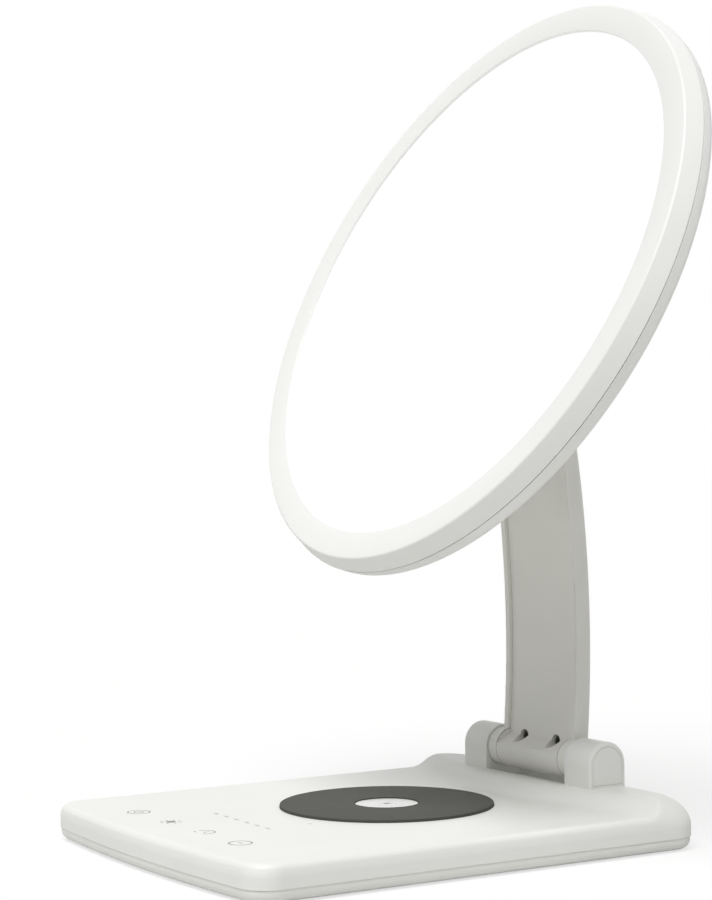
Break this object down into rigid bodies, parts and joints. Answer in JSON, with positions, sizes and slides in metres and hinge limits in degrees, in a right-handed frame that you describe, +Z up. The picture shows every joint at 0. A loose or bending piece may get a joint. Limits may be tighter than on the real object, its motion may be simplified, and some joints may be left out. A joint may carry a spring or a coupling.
{
  "type": "light therapy lamp",
  "caption": "Light therapy lamp: a round lit panel on a bowed folding arm, over a flat base with a phone charging pad and touch keys.",
  "frame": {"origin": "midway between the four corners of the base, on the table", "axes": "+X runs along both hinge pins to the lamp's left as it faces you, -Y is the front, where the touch keys are, and +Z is up"},
  "size_m": [0.2716, 0.23, 0.358],
  "materials": {
    "white_shell": "softly textured white ABS",
    "white_tray": "plain white ABS",
    "white_arm": "softly textured white ABS",
    "white_gloss": "smooth white plastic",
    "pad_silicone": "matt dark grey silicone",
    "grey_rubber": "matt grey rubber",
    "grey_washer": "dark friction fibre",
    "black_plastic": "smooth black plastic",
    "black_foam": "conductive foam",
    "zinc_screw": "bright zinc plate",
    "zinc_plate": "zinc-plated sheet steel",
    "steel_pin": "ground steel",
    "steel_bush": "plain steel",
    "copper_coil": "enamelled copper wire",
    "ferrite": "dark ferrite",
    "green_board": "solder-masked fibreglass",
    "led_package": "white package with a yellow phosphor",
    "clear_light_guide": "clear polycarbonate",
    "clear_acrylic": "clear acrylic",
    "opal_diffuser": "opal acrylic, lit from behind",
    "white_sheet": "white reflective film",
    "white_strip": "flexible circuit strip",
    "white_lead": "smooth sheathed lead",
    "mill_aluminium": "mill-finish sheet"
  },
  "bodies": {
    "base": {"base_top_cover": "white_shell", "base_bottom_tray": "white_tray", "anti_slip_mat": "grey_rubber", "base_screws": "zinc_screw", "ballast_plate": "zinc_plate", "charging_pad_ring": "pad_silicone", "charging_pad_centre": "white_gloss", "charging_coil": "copper_coil", "ferrite_sheet": "ferrite", "touch_board": "green_board", "control_board": "green_board", "board_screws": "zinc_screw", "key_contacts": "black_foam", "indicator_leds": "led_package", "level_light_guide": "clear_light_guide", "charge_light_guide": "clear_light_guide", "power_inlet": "black_plastic", "base_ear_brackets": "zinc_plate", "base_ear_screws": "zinc_screw", "base_ear_cap_left": "white_shell", "base_ear_cap_right": "white_shell", "lower_hinge_pin": "steel_pin", "lower_hinge_nut": "zinc_screw"},
    "arm": {"arm_front_cover": "white_arm", "arm_rear_shell": "white_arm", "arm_spine": "zinc_plate", "arm_lead": "white_lead", "arm_clamp_screws": "zinc_screw", "lower_hinge_bush": "steel_bush", "upper_hinge_bush": "steel_bush", "lower_friction_washers": "grey_washer", "upper_friction_washers": "grey_washer"},
    "head": {"upper_hinge_pin": "steel_pin", "upper_hinge_nut": "zinc_screw", "panel_ear_cap_left": "white_shell", "panel_ear_cap_right": "white_shell", "panel_hinge_plate": "zinc_plate", "panel_ear_screws": "zinc_screw", "panel_rear_shell": "white_shell", "panel_bezel": "white_shell", "diffuser": "opal_diffuser", "light_guide": "clear_acrylic", "reflector_sheet": "white_sheet", "heat_frame": "mill_aluminium", "led_strip": "white_strip", "led_chips": "led_package", "led_driver_board": "green_board", "panel_screws": "zinc_screw"}
  },
  "joints": [
    {"name": "arm_fold", "type": "hinge", "parent": "base", "child": "arm", "pos_m": [0, 0.08845, 0.031], "axis": [1, 0, 0], "range_deg": [-10, 40]},
    {"name": "panel_tilt", "type": "hinge", "parent": "arm", "child": "head", "pos_m": [0, 0.07179, 0.22709], "axis": [1, 0, 0], "range_deg": [-45, 30]}
  ]
}
